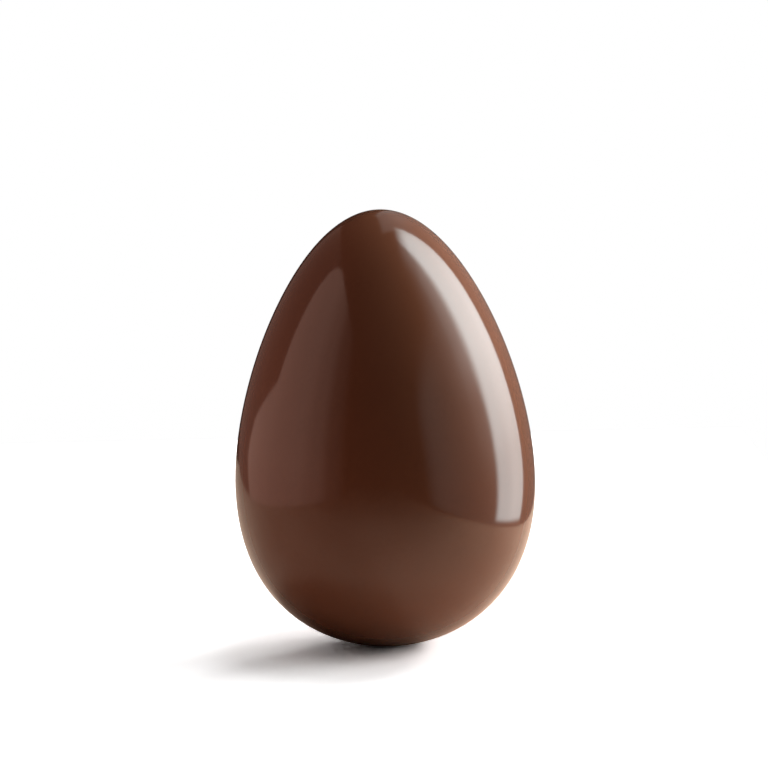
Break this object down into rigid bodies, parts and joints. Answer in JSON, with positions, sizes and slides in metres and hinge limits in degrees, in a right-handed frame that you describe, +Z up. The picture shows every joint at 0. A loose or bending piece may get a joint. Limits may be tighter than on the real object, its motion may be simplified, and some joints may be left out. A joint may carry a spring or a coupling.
{
  "type": "chocolate egg",
  "caption": "Smooth, glossy moulded milk chocolate Easter egg, whole and undecorated, standing upright on its blunt end.",
  "frame": {"origin": "middle of the flat spot under the blunt end, where the egg rests", "axes": "+Z up, from the blunt end to the tip, along the axis that the egg is turned about"},
  "size_m": [0.0826, 0.0826, 0.12],
  "materials": {
    "chocolate": "gloss"
  },
  "bodies": {
    "root": {"egg": "chocolate"}
  },
  "joints": []
}
